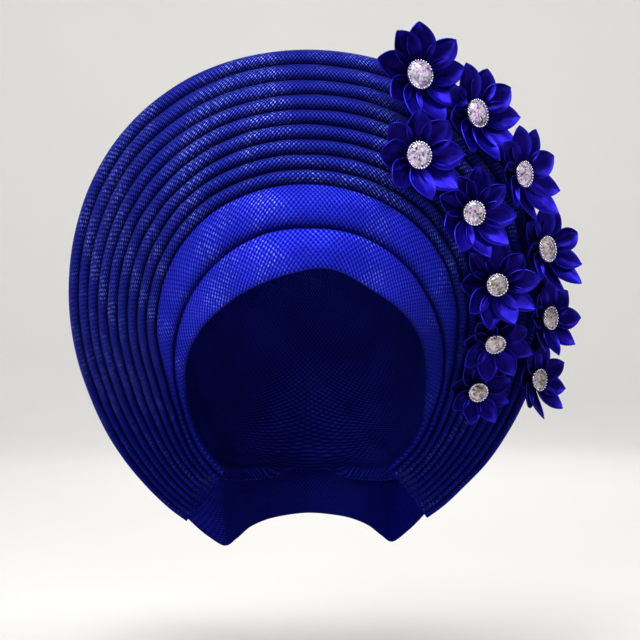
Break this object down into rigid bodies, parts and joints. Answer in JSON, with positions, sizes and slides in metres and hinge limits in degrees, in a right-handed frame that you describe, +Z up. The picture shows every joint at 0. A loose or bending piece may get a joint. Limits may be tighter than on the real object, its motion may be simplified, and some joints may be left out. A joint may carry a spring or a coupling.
{
  "type": "gele head tie",
  "caption": "Ready-tied head wrap: plain brow folds under a horseshoe fan of rounded pleats, open for the head, with a spray of ribbon flowers holding round rhinestones.",
  "frame": {"origin": "the top of the wearer's head, at the inside of the crown wrap, where the head tie sits", "axes": "+X to the wearer's left (the viewer's right), +Y to the back of the head, +Z up"},
  "size_m": [0.3066, 0.1939, 0.3104],
  "materials": {
    "gele_cloth": "metallic mesh weave, semi-gloss",
    "ribbon_satin": "satin",
    "stone_setting": "polished beaded metal",
    "rhinestone": "faceted, iridescent coating"
  },
  "bodies": {
    "root": {"brow_band": "gele_cloth", "upper_band": "gele_cloth", "pleated_fan": "gele_cloth", "crown_wrap": "gele_cloth", "nape_tie": "gele_cloth", "flower_01": "ribbon_satin", "flower_02": "ribbon_satin", "flower_03": "ribbon_satin", "flower_04": "ribbon_satin", "flower_05": "ribbon_satin", "flower_06": "ribbon_satin", "flower_07": "ribbon_satin", "flower_08": "ribbon_satin", "flower_09": "ribbon_satin", "flower_10": "ribbon_satin", "flower_11": "ribbon_satin", "setting_01": "stone_setting", "setting_02": "stone_setting", "setting_03": "stone_setting", "setting_04": "stone_setting", "setting_05": "stone_setting", "setting_06": "stone_setting", "setting_07": "stone_setting", "setting_08": "stone_setting", "setting_09": "stone_setting", "setting_10": "stone_setting", "setting_11": "stone_setting", "crystal_01": "rhinestone", "crystal_02": "rhinestone", "crystal_03": "rhinestone", "crystal_04": "rhinestone", "crystal_05": "rhinestone", "crystal_06": "rhinestone", "crystal_07": "rhinestone", "crystal_08": "rhinestone", "crystal_09": "rhinestone", "crystal_10": "rhinestone", "crystal_11": "rhinestone"}
  },
  "joints": []
}
